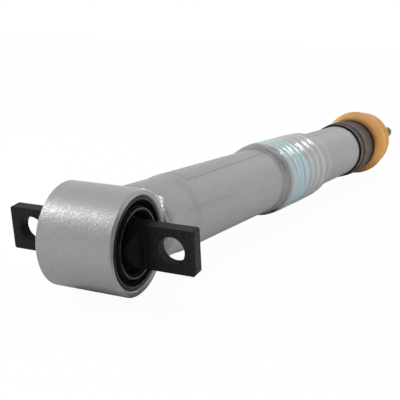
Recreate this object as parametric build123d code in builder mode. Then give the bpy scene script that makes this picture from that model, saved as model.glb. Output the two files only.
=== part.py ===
"""Height-adjustable monotube suspension strut with a bar-pin lower bush, in millimetres.

The strut lies along X with its rod fully out. The origin is the centre of the lower eye, +X runs up
the strut to the threaded stem, Y is the axis of the eye and its bush, and +Z is up.
"""
import os
from math import cos, hypot, pi, sin, sqrt

from build123d import *

# Clearances that several pieces share
FIT = 0.05              # seated pieces of one body, on the radius
RUN = 0.05              # a shaft in its bush or lip, on the radius
SEAT = 0.1              # end play of a piece in its seat
REST_GAP = 0.3          # soft stops at rest

# Lower eye, sized by the bush inside it
EYE_WALL = 3.7
EYE_LENGTH = 46.0
EYE_EDGE = 0.7          # chamfer of the eye's rims

# Bush: two steel rings with rubber between them and round the bar pin
RING_RECESS = 0.3       # the bush's outer ring behind the eye's face
OUTER_RING_WALL = 2.2
RING_EDGE = 0.4         # chamfer of the outer ring's rims
OUTER_RUBBER_WALL = 3.95
INNER_RUBBER_WALL = 5.08
INNER_RING_WALL = 1.0
INNER_RING_RECESS = 0.3
RUBBER_RECESS = 2.6     # the rubber's edge behind the steel beside it
RUBBER_HOLLOW = 4.0     # depth of the moulded hollow in each rubber face

# Bar pin: a round bar forged flat at both ends, with one bolt hole in each tab
BAR_TILT = 10.0         # the tabs lean this much about the eye's axis at rest
TAB_HEIGHT = 25.2
TAB_THICKNESS = 7.3
BAR_REACH = 34.75       # from the eye's face to the end of the tab
HOLE_SET = 13.85        # from the end of the tab to the middle of its hole
HOLE_RADIUS = 7.7
BARREL_RECESS = 3.0     # the round part ends this far inside the eye's face
TAB_ROOT = 1.5          # radius of the hollow between a tab and the barrel's round shoulder
TAB_CORNER = 1.2        # chamfer of each tab's two outer corners
TAB_EDGE = 0.5          # chamfer round the end face of each tab and its hole

# Closed lower end of the damper body
BASE_LENGTH = 11.7      # from the eye's crown to the tube
BASE_THICKNESS = 16.7   # from the eye's crown to the gas room
BASE_ROUND = 11.0
BASE_SINK = 2.0         # the round runs on this far inside the saddle
BASE_SPIGOT = 11.0
BASE_SPIGOT_WALL = 5.0
SADDLE_FIT = 0.1
WELD_RADIUS = 4.1
WELD_SET = 0.8          # the bead's middle lies this far behind the eye's crown

# Damper tube
TUBE_RADIUS = 25.0
TUBE_WALL = 2.0
TUBE_LENGTH = 445.0
NECK_STEP = 0.7         # the tube is ground down this much by the weld, on the radius
NECK_LENGTH = 25.0
NECK_RUN = 9.0          # it swells back to full size over this length
TUBE_EDGE = 0.4

# Grooved sleeve for the spring seat, and the film that is wrapped round it
SLEEVE_SET = 186.5      # from the tube's lower end
SLEEVE_LENGTH = 117.5
SLEEVE_WALL = 3.3
SLEEVE_CONE = 18.0      # length of the sleeve's tapered end
SLEEVE_THIN = 0.5       # wall left at the thin end of the taper
SLEEVE_LEAD = 1.2       # chamfered front corner
GROOVE_SET = 11.5       # from the sleeve's front to the middle of the first groove
GROOVE_PITCH = 10.0
GROOVE_COUNT = 7
GROOVE_WIDTH = 3.4
GROOVE_DEPTH = 1.2
FILM_THICKNESS = 0.25
FILM_LEAD = 10.5        # the film starts this far before the sleeve
FILM_BRIDGE = 3.5       # and leaves the tube this far before it
FILM_TAIL = 9.0         # bare length of the sleeve between the film and the taper

# Rod guide pack, from the open end of the tube inwards
TUBE_LIP = 2.2
RETAINING_RING_THICKNESS = 1.8
RETAINING_RING_WIDTH = 2.6
RING_GROOVE_DEPTH = 0.9
GUIDE_LENGTH = 27.0
GUIDE_BUSH_LENGTH = 14.0
GUIDE_BUSH_WALL = 1.2
GUIDE_FRONT_WALL = 2.0
SEAL_LENGTH = 6.5
SEAL_WIDTH = 4.6
SEAL_LIP = 1.3
WIPER_LENGTH = 3.2
WIPER_WIDTH = 3.4
O_RING_SECTION = 2.4
STOP_RING_SECTION = 1.8

# End cap that the bump stop strikes
CAP_WALL = 1.75
CAP_SKIRT = 44.0        # length of tube inside the cap
CAP_FLOOR = 11.7
CAP_BODY_STEP = 0.9     # behind its groove the cap is this much thicker
CAP_NOSE_LENGTH = 11.0
CAP_NOSE_RUN = 8.0      # the body tapers to the nose over this length
CAP_NOSE_STEP = 0.5     # the nose is this much slimmer, on the radius
CAP_BEAD = 12.0         # from the cap's rim to its groove
CAP_GROOVE_WIDTH = 4.6
CAP_GROOVE_DEPTH = 0.9
CAP_EDGE = 1.0          # round of its far corner
CAP_RIM = 0.5           # chamfer of its rim on the tube
CAP_MOUTH_GAP = 1.6     # round the rod

# Piston rod and stem
ROD_RADIUS = 7.0
ROD_REACH = 134.2       # plain rod that stands out of the end cap
STEM_RADIUS = 6.0
STEM_LENGTH = 40.0
STEM_NECK = 2.4
STEM_NECK_DEPTH = 0.9
PILOT_RADIUS = 5.0
ROD_SLEEVE_LENGTH = 16.0    # rod between the rebound plate and the piston's backing washer

# Rebound stop
BUFFER_RADIUS = 15.0
BUFFER_LENGTH = 10.0
BUFFER_EDGE = 2.0
PLATE_RADIUS = 17.0
PLATE_THICKNESS = 2.5
PLATE_GROOVE_DEPTH = 1.0

# Working piston and its valves
PISTON_GAP = 0.4        # between the piston and the bore
PISTON_LENGTH = 20.0
BAND_LENGTH = 9.0
BAND_DEPTH = 1.5
VALVE_LAND = 0.8        # height of the seats under the shims
VALVE_SEAT_RADIUS = 18.6
VALVE_SEAT_WIDTH = 1.4
HUB_RADIUS = 9.0
PORT_COUNT = 6
PORT_RADIUS = 1.9
PORT_INNER = 14.0       # a port's end under the shims
PORT_OUTER = 20.4       # its open end
SHIM_THICKNESS = 0.4
SHIM_COUNT = 5
SHIM_LARGEST = 18.9
SHIM_STEP = 1.9
WASHER_RADIUS = 10.5
WASHER_THICKNESS = 2.5
NUT_FLATS = 17.0
NUT_HEIGHT = 9.0
THREAD_REACH = 2.0      # the pilot stands this far out of the nut

# Floating piston between oil and gas
GAS_LENGTH = 140.0      # from the base cap's floor to the floating piston
FLOAT_LENGTH = 20.0
FLOAT_GAP = 0.1
FLOAT_WALL = 3.6
FLOAT_FLOOR = 6.0

# Bump stop, a moulded foam sleeve on the rod; stations run from its foot
BUMP_LENGTH = 62.0
BUMP_FOOT_RADIUS = 26.2
BUMP_BELL_STATION = 22.0
BUMP_BELL_RADIUS = 33.6
BUMP_WAIST_STATION = 36.0
BUMP_WAIST_RADIUS = 28.0
BUMP_CROWN_STATION = 48.4
BUMP_CROWN_RADIUS = 30.9
BUMP_TIP_RADIUS = 18.0

# Worked out from the sizes above
BARREL_RADIUS = hypot(TAB_HEIGHT, TAB_THICKNESS) / 2
BARREL_LENGTH = EYE_LENGTH - 2 * BARREL_RECESS
BAR_LENGTH = EYE_LENGTH + 2 * BAR_REACH
HOLE_SPACING = BAR_LENGTH - 2 * HOLE_SET
INNER_RING_BORE = BARREL_RADIUS + RUN + INNER_RUBBER_WALL + FIT
INNER_RING_RADIUS = INNER_RING_BORE + INNER_RING_WALL
OUTER_RING_BORE = INNER_RING_RADIUS + FIT + OUTER_RUBBER_WALL + FIT
EYE_BORE = OUTER_RING_BORE + OUTER_RING_WALL + FIT
EYE_RADIUS = EYE_BORE + EYE_WALL
TUBE_BORE = TUBE_RADIUS - TUBE_WALL
BASE_RADIUS = TUBE_RADIUS - NECK_STEP
BASE_JOINT = EYE_RADIUS + BASE_LENGTH
BASE_FLOOR = EYE_RADIUS + BASE_THICKNESS
WELD_STATION = EYE_RADIUS - WELD_SET
TUBE_END = BASE_JOINT + TUBE_LENGTH
SLEEVE_BORE = TUBE_RADIUS + FIT
SLEEVE_RADIUS = SLEEVE_BORE + SLEEVE_WALL
SLEEVE_START = BASE_JOINT + SLEEVE_SET
SLEEVE_END = SLEEVE_START + SLEEVE_LENGTH
GROOVE_FIRST = SLEEVE_START + GROOVE_SET
FILM_START = SLEEVE_START - FILM_LEAD
CAP_BORE = TUBE_RADIUS + FIT
CAP_RADIUS = CAP_BORE + CAP_WALL
CAP_BODY_RADIUS = CAP_RADIUS + CAP_BODY_STEP
CAP_NOSE_RADIUS = CAP_BODY_RADIUS - CAP_NOSE_STEP
CAP_START = TUBE_END - CAP_SKIRT
OUTER_RING_HALF = EYE_LENGTH / 2 - RING_RECESS
INNER_RING_HALF = EYE_LENGTH / 2 - INNER_RING_RECESS
RETAINING_RING_START = TUBE_END - TUBE_LIP - RETAINING_RING_THICKNESS
GUIDE_END = RETAINING_RING_START - SEAT
GUIDE_START = GUIDE_END - GUIDE_LENGTH
GUIDE_RADIUS = TUBE_BORE - FIT
CAP_END = TUBE_END + SEAT + CAP_FLOOR
ROD_SHOULDER = CAP_END + ROD_REACH
BUFFER_END = GUIDE_START - REST_GAP
PLATE_END = BUFFER_END - BUFFER_LENGTH - SEAT
PLATE_START = PLATE_END - PLATE_THICKNESS
PILOT_END = PLATE_START - ROD_SLEEVE_LENGTH
SHIM_STACK = SHIM_COUNT * SHIM_THICKNESS
PISTON_END = PILOT_END - WASHER_THICKNESS - SHIM_STACK
PISTON_START = PISTON_END - PISTON_LENGTH
PISTON_RADIUS = TUBE_BORE - PISTON_GAP
NUT_END = PISTON_START - SHIM_STACK - WASHER_THICKNESS
NUT_START = NUT_END - NUT_HEIGHT
FLOAT_START = BASE_FLOOR + GAS_LENGTH
FLOAT_RADIUS = TUBE_BORE - FLOAT_GAP
BUMP_START = CAP_END + REST_GAP

# The turned pieces are drawn in XZ, station along X and radius along Z
SECTION = Plane.XZ
# The bush's rings are drawn in XY, radius along X and station along Y
BUSH_SECTION = Plane.XY
EYE_SIDE = Plane.XZ


def step(start, end, inner, outer, mode=Mode.ADD):
    """One rectangular step of a turned section, between two stations and two radii."""
    with Locations(((start + end) / 2, (inner + outer) / 2)):
        Rectangle(end - start, outer - inner, mode=mode)


def bush_step(inner, outer, half_length, mode=Mode.ADD):
    """One rectangular step of a bush ring's section, even about the middle of the eye."""
    with Locations(((inner + outer) / 2, 0)):
        Rectangle(outer - inner, 2 * half_length, mode=mode)


def rubber_section(inner, outer, inner_half, outer_half):
    """A rubber ring's section, with a moulded hollow in each end face."""
    third = (outer - inner) / 3
    floor = min(inner_half, outer_half) - RUBBER_HOLLOW
    end = [(inner, inner_half), (inner + third, floor), (outer - third, floor), (outer, outer_half)]
    other_end = [(radius, -half) for radius, half in reversed(end)]
    with BuildLine() as outline:
        Polyline(*end, *other_end, close=True)
    make_face(outline.edges())


def save(part, name):
    """Label a finished piece and write it."""
    part.label = name
    export_step(part, f"parts/{name}.step")


os.makedirs("parts", exist_ok=True)

# Lower eye: a plain ring cut from heavy tube
with BuildPart() as lower_eye:
    with BuildSketch(EYE_SIDE):
        Circle(EYE_RADIUS)
        Circle(EYE_BORE, mode=Mode.SUBTRACT)
    extrude(amount=EYE_LENGTH / 2, both=True)
    chamfer(lower_eye.edges().filter_by(GeomType.CIRCLE), EYE_EDGE)
save(lower_eye.part, "lower_eye")

# Base cap: the closed lower end, rounded off and cupped to sit on the eye
with BuildPart() as base_cap:
    round_foot = BASE_RADIUS - BASE_ROUND
    base_start = sqrt(EYE_RADIUS**2 - round_foot**2) - BASE_SINK
    with BuildSketch(SECTION):
        with BuildLine():
            Line((base_start, 0), (base_start, round_foot))
            CenterArc((base_start + BASE_ROUND, round_foot), BASE_ROUND, 90, 90)
            Line((base_start + BASE_ROUND, BASE_RADIUS), (BASE_JOINT - SEAT, BASE_RADIUS))
            Line((BASE_JOINT - SEAT, BASE_RADIUS), (BASE_JOINT - SEAT, 0))
            Line((BASE_JOINT - SEAT, 0), (base_start, 0))
        make_face()
        step(BASE_JOINT - SEAT, BASE_JOINT + BASE_SPIGOT, 0, TUBE_BORE - FIT)
        step(BASE_FLOOR, BASE_JOINT + BASE_SPIGOT, 0, TUBE_BORE - FIT - BASE_SPIGOT_WALL,
             mode=Mode.SUBTRACT)
    revolve(axis=Axis.X)
    with BuildSketch(EYE_SIDE):
        Circle(EYE_RADIUS + SADDLE_FIT)
    extrude(amount=TUBE_RADIUS * 2, both=True, mode=Mode.SUBTRACT)
save(base_cap.part, "base_cap")

# Weld bead: fills the notch all round between the eye and the base cap
with BuildPart() as eye_weld:
    with BuildSketch(SECTION):
        with Locations((WELD_STATION, BASE_RADIUS - WELD_RADIUS + SADDLE_FIT)):
            Circle(WELD_RADIUS)
        with Locations((base_start + BASE_ROUND, round_foot)):
            Circle(BASE_ROUND + FIT, mode=Mode.SUBTRACT)
    revolve(axis=Axis.X)
    with BuildSketch(EYE_SIDE):
        Circle(EYE_RADIUS + FIT)
    extrude(amount=TUBE_RADIUS * 2, both=True, mode=Mode.SUBTRACT)
save(eye_weld.part, "eye_weld")

# Bush rings and rubber
with BuildPart() as bush_outer_ring:
    with BuildSketch(BUSH_SECTION):
        bush_step(OUTER_RING_BORE, EYE_BORE - FIT, OUTER_RING_HALF)
    revolve(axis=Axis.Y)
    chamfer(bush_outer_ring.edges().filter_by(GeomType.CIRCLE), RING_EDGE)
save(bush_outer_ring.part, "bush_outer_ring")

with BuildPart() as bush_inner_ring:
    with BuildSketch(BUSH_SECTION):
        bush_step(INNER_RING_BORE, INNER_RING_RADIUS, INNER_RING_HALF)
    revolve(axis=Axis.Y)
save(bush_inner_ring.part, "bush_inner_ring")

with BuildPart() as bush_outer_rubber:
    with BuildSketch(BUSH_SECTION):
        rubber_section(INNER_RING_RADIUS + FIT, OUTER_RING_BORE - FIT,
                       INNER_RING_HALF - RUBBER_RECESS / 2, OUTER_RING_HALF - RUBBER_RECESS)
    revolve(axis=Axis.Y)
save(bush_outer_rubber.part, "bush_outer_rubber")

with BuildPart() as bush_inner_rubber:
    with BuildSketch(BUSH_SECTION):
        rubber_section(BARREL_RADIUS + RUN, INNER_RING_BORE - FIT,
                       BARREL_LENGTH / 2 - RUBBER_RECESS / 2, INNER_RING_HALF - RUBBER_RECESS / 2)
    revolve(axis=Axis.Y)
save(bush_inner_rubber.part, "bush_inner_rubber")

# Bar pin: round in the bush, with a round shoulder down to a flat tab at each end
bar_side = Plane.XZ.rotated((0, -BAR_TILT, 0))
bar_top = Plane.XY.rotated((0, -BAR_TILT, 0))
bar_end = Plane.YZ.rotated((0, -BAR_TILT, 0))
with BuildPart() as bar_pin:
    with BuildSketch(bar_side):
        Circle(BARREL_RADIUS)
    extrude(amount=BAR_LENGTH / 2, both=True)
    with BuildSketch(bar_top):
        root_side = TAB_THICKNESS / 2 + TAB_ROOT
        shoulder = BARREL_RADIUS - root_side
        tab_start = BARREL_LENGTH / 2 + shoulder + TAB_ROOT
        with BuildLine():
            Line((BARREL_RADIUS, BARREL_LENGTH / 2), (2 * BARREL_RADIUS, BARREL_LENGTH / 2))
            Line((2 * BARREL_RADIUS, BARREL_LENGTH / 2), (2 * BARREL_RADIUS, BAR_LENGTH))
            Line((2 * BARREL_RADIUS, BAR_LENGTH), (TAB_THICKNESS / 2, BAR_LENGTH))
            Line((TAB_THICKNESS / 2, BAR_LENGTH), (TAB_THICKNESS / 2, tab_start))
            CenterArc((root_side, tab_start), TAB_ROOT, 180, 90)
            CenterArc((root_side, BARREL_LENGTH / 2), shoulder, 0, 90)
        make_face()
        mirror(about=Plane.YZ)
        mirror(about=Plane.XZ)
    extrude(amount=TAB_HEIGHT, both=True, mode=Mode.SUBTRACT)
    with BuildSketch(bar_end):
        with Locations(*[(side * (BAR_LENGTH / 4 + tab_start / 2), end * TAB_HEIGHT)
                         for side in (1, -1) for end in (1, -1)]):
            Rectangle(BAR_LENGTH / 2 - tab_start, TAB_HEIGHT)
    extrude(amount=BARREL_RADIUS, both=True, mode=Mode.SUBTRACT)
    with BuildSketch(bar_end):
        with Locations((HOLE_SPACING / 2, 0), (-HOLE_SPACING / 2, 0)):
            Circle(HOLE_RADIUS)
    extrude(amount=BARREL_RADIUS, both=True, mode=Mode.SUBTRACT)
    chamfer(bar_pin.edges().filter_by(lambda edge: abs(edge.center().Y) > BAR_LENGTH / 2 - FIT
                                      and abs(edge.length - TAB_THICKNESS) < FIT), TAB_CORNER)
    faces = bar_pin.faces().filter_by(GeomType.PLANE).sort_by(Axis.Y)
    chamfer((*faces[0].edges(), *faces[-1].edges()), TAB_EDGE)
    holes = bar_pin.edges().filter_by(GeomType.CIRCLE).filter_by(
        lambda rim: abs(rim.radius - HOLE_RADIUS) < FIT)
    chamfer(holes, TAB_EDGE)
save(bar_pin.part, "bar_pin")

# Damper tube, with a groove for each ring that holds the rod guide
with BuildPart() as damper_tube:
    with BuildSketch(SECTION):
        with BuildLine():
            Polyline((BASE_JOINT + NECK_LENGTH, BASE_RADIUS), (BASE_JOINT, BASE_RADIUS),
                     (BASE_JOINT, TUBE_BORE), (TUBE_END, TUBE_BORE), (TUBE_END, TUBE_RADIUS),
                     (BASE_JOINT + NECK_LENGTH + NECK_RUN, TUBE_RADIUS))
            Spline((BASE_JOINT + NECK_LENGTH, BASE_RADIUS),
                   (BASE_JOINT + NECK_LENGTH + NECK_RUN, TUBE_RADIUS), tangents=((1, 0), (1, 0)))
        make_face()
        step(RETAINING_RING_START - FIT, RETAINING_RING_START + RETAINING_RING_THICKNESS + FIT,
             TUBE_BORE - FIT, TUBE_BORE + RING_GROOVE_DEPTH, mode=Mode.SUBTRACT)
        step(GUIDE_START - SEAT - STOP_RING_SECTION - FIT, GUIDE_START - SEAT + FIT,
             TUBE_BORE - FIT, TUBE_BORE + STOP_RING_SECTION / 2, mode=Mode.SUBTRACT)
    revolve(axis=Axis.X)
    rims = damper_tube.edges().filter_by(GeomType.CIRCLE).filter_by(
        lambda rim: abs(rim.radius - TUBE_RADIUS) < FIT)
    chamfer(rims.sort_by(Axis.X)[-1], TUBE_EDGE)
save(damper_tube.part, "damper_tube")

# Spring-seat sleeve: one groove for each height that the seat's ring can take
with BuildPart() as spring_seat_sleeve:
    with BuildSketch(SECTION) as sleeve_section:
        with BuildLine():
            Polyline((SLEEVE_START, SLEEVE_BORE), (SLEEVE_START, SLEEVE_RADIUS),
                     (SLEEVE_END - SLEEVE_CONE, SLEEVE_RADIUS),
                     (SLEEVE_END, SLEEVE_BORE + SLEEVE_THIN), (SLEEVE_END, SLEEVE_BORE), close=True)
        make_face()
        front = sleeve_section.vertices().group_by(Axis.X)[0].sort_by(Axis.Y)[-1]
        chamfer(front, SLEEVE_LEAD)
        for index in range(GROOVE_COUNT):
            centre = GROOVE_FIRST + index * GROOVE_PITCH
            step(centre - GROOVE_WIDTH / 2, centre + GROOVE_WIDTH / 2,
                 SLEEVE_RADIUS - GROOVE_DEPTH, SLEEVE_RADIUS + GROOVE_DEPTH, mode=Mode.SUBTRACT)
    revolve(axis=Axis.X)
save(spring_seat_sleeve.part, "spring_seat_sleeve")

# Protective film: one thin skin from the bare tube up and over the sleeve's grooves
with BuildPart() as protective_film:
    skin = SLEEVE_RADIUS + FIT
    film_end = SLEEVE_END - SLEEVE_CONE - FILM_TAIL
    with BuildSketch(SECTION):
        with BuildLine() as film_line:
            Polyline((FILM_START, TUBE_RADIUS + FIT), (SLEEVE_START - FILM_BRIDGE, TUBE_RADIUS + FIT),
                     (SLEEVE_START - FIT, SLEEVE_RADIUS - SLEEVE_LEAD), (SLEEVE_START + SLEEVE_LEAD, skin),
                     (film_end, skin))
            offset(amount=FILM_THICKNESS, side=Side.LEFT, closed=True, kind=Kind.INTERSECTION)
        make_face()
    revolve(axis=Axis.X)
save(protective_film.part, "protective_film")

# Rod guide: carries the bush, the seal and the wiper, and an o-ring round its rim
seal_start = GUIDE_END - WIPER_LENGTH - GUIDE_FRONT_WALL - SEAL_LENGTH
seal_outer = ROD_RADIUS + SEAL_WIDTH
wiper_outer = ROD_RADIUS + WIPER_WIDTH
bush_outer = ROD_RADIUS + RUN + GUIDE_BUSH_WALL
bush_start = GUIDE_START + GUIDE_FRONT_WALL / 2
guide_middle = (GUIDE_START + GUIDE_END) / 2
o_ring_centre = GUIDE_RADIUS - O_RING_SECTION / 2 - FIT
with BuildPart() as rod_guide:
    with BuildSketch(SECTION):
        step(GUIDE_START, GUIDE_END, ROD_RADIUS + REST_GAP, GUIDE_RADIUS)
        step(bush_start - FIT, bush_start + GUIDE_BUSH_LENGTH + FIT, ROD_RADIUS, bush_outer + FIT,
             mode=Mode.SUBTRACT)
        step(seal_start - FIT, seal_start + SEAL_LENGTH + FIT, ROD_RADIUS, seal_outer + FIT,
             mode=Mode.SUBTRACT)
        step(GUIDE_END - WIPER_LENGTH - FIT, GUIDE_END + SEAT, ROD_RADIUS, wiper_outer + FIT,
             mode=Mode.SUBTRACT)
        step(guide_middle - O_RING_SECTION / 2 - SEAT, guide_middle + O_RING_SECTION / 2 + SEAT,
             o_ring_centre - O_RING_SECTION / 2 - FIT, TUBE_BORE, mode=Mode.SUBTRACT)
    revolve(axis=Axis.X)
save(rod_guide.part, "rod_guide")

with BuildPart() as guide_bush:
    with BuildSketch(SECTION):
        step(bush_start, bush_start + GUIDE_BUSH_LENGTH, ROD_RADIUS + RUN, bush_outer)
    revolve(axis=Axis.X)
save(guide_bush.part, "guide_bush")

with BuildPart() as rod_seal:
    with BuildSketch(SECTION):
        with BuildLine():
            Polyline((seal_start, ROD_RADIUS + RUN), (seal_start + SEAL_LIP, ROD_RADIUS + RUN),
                     (seal_start + SEAL_LENGTH / 2, ROD_RADIUS + SEAL_LIP / 2),
                     (seal_start + SEAL_LENGTH, ROD_RADIUS + SEAL_LIP / 2),
                     (seal_start + SEAL_LENGTH, seal_outer), (seal_start, seal_outer),
                     (seal_start, seal_outer - SEAL_LIP),
                     (seal_start + SEAL_LENGTH / 2, (ROD_RADIUS + seal_outer) / 2),
                     (seal_start, ROD_RADIUS + SEAL_LIP), close=True)
        make_face()
    revolve(axis=Axis.X)
save(rod_seal.part, "rod_seal")

with BuildPart() as rod_wiper:
    with BuildSketch(SECTION):
        wiper_start = GUIDE_END - WIPER_LENGTH
        with BuildLine():
            Polyline((wiper_start, ROD_RADIUS + SEAL_LIP), (wiper_start, wiper_outer),
                     (GUIDE_END, wiper_outer), (GUIDE_END, ROD_RADIUS + RUN),
                     (GUIDE_END - SEAL_LIP / 2, ROD_RADIUS + RUN), close=True)
        make_face()
    revolve(axis=Axis.X)
save(rod_wiper.part, "rod_wiper")

with BuildPart() as guide_o_ring:
    with BuildSketch(SECTION):
        with Locations((guide_middle, o_ring_centre)):
            Circle(O_RING_SECTION / 2)
    revolve(axis=Axis.X)
save(guide_o_ring.part, "guide_o_ring")

with BuildPart() as guide_stop_ring:
    with BuildSketch(SECTION):
        with Locations((GUIDE_START - SEAT - STOP_RING_SECTION / 2, TUBE_BORE)):
            Circle(STOP_RING_SECTION / 2 - FIT)
    revolve(axis=Axis.X)
save(guide_stop_ring.part, "guide_stop_ring")

# Retaining ring: split, so that it can be closed up and sprung into its groove
with BuildPart() as guide_retaining_ring:
    ring_outer = TUBE_BORE + RING_GROOVE_DEPTH - FIT
    with BuildSketch(Plane.YZ.offset(RETAINING_RING_START)):
        Circle(ring_outer)
        Circle(ring_outer - RETAINING_RING_WIDTH, mode=Mode.SUBTRACT)
        with Locations((0, ring_outer)):
            Rectangle(RETAINING_RING_WIDTH, 4 * RETAINING_RING_WIDTH, mode=Mode.SUBTRACT)
    extrude(amount=RETAINING_RING_THICKNESS)
save(guide_retaining_ring.part, "guide_retaining_ring")

# End cap: pressed over the tube, with one turned groove and a taper to its nose
with BuildPart() as end_cap:
    groove_centre = CAP_START + CAP_BEAD
    with BuildSketch(SECTION):
        with BuildLine():
            half = CAP_GROOVE_WIDTH / 2
            nose_start = CAP_END - CAP_NOSE_LENGTH
            ThreePointArc((groove_centre - half, CAP_RADIUS),
                          (groove_centre, CAP_RADIUS - CAP_GROOVE_DEPTH),
                          (groove_centre + half, CAP_BODY_RADIUS))
            Polyline((groove_centre + half, CAP_BODY_RADIUS),
                     (nose_start - CAP_NOSE_RUN, CAP_BODY_RADIUS), (nose_start, CAP_NOSE_RADIUS),
                     (CAP_END, CAP_NOSE_RADIUS), (CAP_END, CAP_BORE), (CAP_START, CAP_BORE),
                     (CAP_START, CAP_RADIUS), (groove_centre - half, CAP_RADIUS))
        make_face()
        step(TUBE_END + SEAT, CAP_END, ROD_RADIUS + CAP_MOUTH_GAP, CAP_BORE)
    revolve(axis=Axis.X)
    circles = end_cap.edges().filter_by(GeomType.CIRCLE)
    fillet(circles.filter_by(lambda rim: abs(rim.radius - CAP_NOSE_RADIUS) < FIT)
           .sort_by(Axis.X)[-1], CAP_EDGE)
    chamfer(circles.filter_by(lambda rim: abs(rim.radius - CAP_RADIUS) < FIT)
            .sort_by(Axis.X)[0], CAP_RIM)
save(end_cap.part, "end_cap")

# Piston rod: pilot for the piston, groove for the rebound plate, shoulder and stem
with BuildPart() as piston_rod:
    stem_end = ROD_SHOULDER + STEM_LENGTH
    with BuildSketch(SECTION):
        step(NUT_START - THREAD_REACH, PILOT_END, 0, PILOT_RADIUS)
        step(PILOT_END, ROD_SHOULDER, 0, ROD_RADIUS)
        step(PLATE_START - FIT, PLATE_END + FIT, ROD_RADIUS - PLATE_GROOVE_DEPTH, ROD_RADIUS,
             mode=Mode.SUBTRACT)
        step(ROD_SHOULDER, stem_end, 0, STEM_RADIUS)
        step(ROD_SHOULDER, ROD_SHOULDER + STEM_NECK, STEM_RADIUS - STEM_NECK_DEPTH, STEM_RADIUS,
             mode=Mode.SUBTRACT)
    revolve(axis=Axis.X)
    ends = piston_rod.edges().filter_by(GeomType.CIRCLE).sort_by(Axis.X)
    chamfer((ends[0], ends[-1]), STEM_NECK_DEPTH)
save(piston_rod.part, "piston_rod")

# Rebound stop: a soft ring backed by a steel plate that is rolled into the rod
with BuildPart() as rebound_plate:
    with BuildSketch(SECTION):
        step(PLATE_START, PLATE_END, ROD_RADIUS - PLATE_GROOVE_DEPTH + FIT, PLATE_RADIUS)
    revolve(axis=Axis.X)
save(rebound_plate.part, "rebound_plate")

with BuildPart() as rebound_buffer:
    with BuildSketch(SECTION):
        step(PLATE_END + SEAT, BUFFER_END, ROD_RADIUS + FIT, BUFFER_RADIUS)
    revolve(axis=Axis.X)
    outer = rebound_buffer.edges().filter_by(GeomType.CIRCLE).filter_by(
        lambda rim: abs(rim.radius - BUFFER_RADIUS) < FIT)
    fillet(outer, BUFFER_EDGE)
save(rebound_buffer.part, "rebound_buffer")


def port_plane(angle, inner_station, outer_station):
    """The plane at a port's inner end, facing along the port to its outer end."""
    inner_end = Vector(inner_station, PORT_INNER * cos(angle), PORT_INNER * sin(angle))
    outer_end = Vector(outer_station, PORT_OUTER * cos(angle), PORT_OUTER * sin(angle))
    run = outer_end - inner_end
    return Plane(origin=inner_end - run, z_dir=run), 3 * run.length


# Piston: slanted ports, one set for each direction of flow, that end under opposite shims
with BuildPart() as piston:
    band_start = (PISTON_START + PISTON_END - BAND_LENGTH) / 2
    with BuildSketch(SECTION):
        step(PISTON_START, PISTON_END, PILOT_RADIUS + FIT, PISTON_RADIUS)
        step(band_start - FIT, band_start + BAND_LENGTH + FIT, PISTON_RADIUS - BAND_DEPTH, TUBE_BORE,
             mode=Mode.SUBTRACT)
        for low, high in ((PISTON_START, PISTON_START + VALVE_LAND),
                          (PISTON_END - VALVE_LAND, PISTON_END)):
            step(low, high, HUB_RADIUS, VALVE_SEAT_RADIUS - VALVE_SEAT_WIDTH, mode=Mode.SUBTRACT)
            step(low, high, VALVE_SEAT_RADIUS, TUBE_BORE, mode=Mode.SUBTRACT)
    revolve(axis=Axis.X)
    for index in range(PORT_COUNT):
        turn = 2 * pi * index / PORT_COUNT
        half_turn = pi / PORT_COUNT
        for port, length in (port_plane(turn, PISTON_END, PISTON_START),
                             port_plane(turn + half_turn, PISTON_START, PISTON_END)):
            with BuildSketch(port):
                Circle(PORT_RADIUS)
            extrude(amount=length, mode=Mode.SUBTRACT)
save(piston.part, "piston")

with BuildPart() as piston_band:
    with BuildSketch(SECTION):
        step(band_start, band_start + BAND_LENGTH, PISTON_RADIUS - BAND_DEPTH + RUN, TUBE_BORE - RUN)
    revolve(axis=Axis.X)
save(piston_band.part, "piston_band")


def shim_stack(face, away):
    """Shims on a piston face, each smaller than the one below, apart by a hair of seat play."""
    for index in range(SHIM_COUNT):
        low = face + away * index * SHIM_THICKNESS
        high = low + away * (SHIM_THICKNESS - FIT / 2)
        step(min(low, high), max(low, high), PILOT_RADIUS + FIT, SHIM_LARGEST - index * SHIM_STEP)


with BuildPart() as compression_shims:
    with BuildSketch(SECTION):
        shim_stack(PISTON_END, 1)
    revolve(axis=Axis.X)
save(compression_shims.part, "compression_shims")

with BuildPart() as rebound_shims:
    with BuildSketch(SECTION):
        shim_stack(PISTON_START, -1)
    revolve(axis=Axis.X)
save(rebound_shims.part, "rebound_shims")

# Backing washers: one behind each stack of shims
with BuildPart() as backing_washers:
    with BuildSketch(SECTION):
        step(PILOT_END - WASHER_THICKNESS, PILOT_END, PILOT_RADIUS + FIT, WASHER_RADIUS)
        step(NUT_END, NUT_END + WASHER_THICKNESS, PILOT_RADIUS + FIT, WASHER_RADIUS)
    revolve(axis=Axis.X)
save(backing_washers.part, "backing_washers")

with BuildPart() as piston_nut:
    with BuildSketch(Plane.YZ.offset(NUT_START)):
        RegularPolygon(NUT_FLATS / 2, 6, major_radius=False)
        Circle(PILOT_RADIUS + FIT, mode=Mode.SUBTRACT)
    extrude(amount=NUT_HEIGHT)
save(piston_nut.part, "piston_nut")

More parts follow.
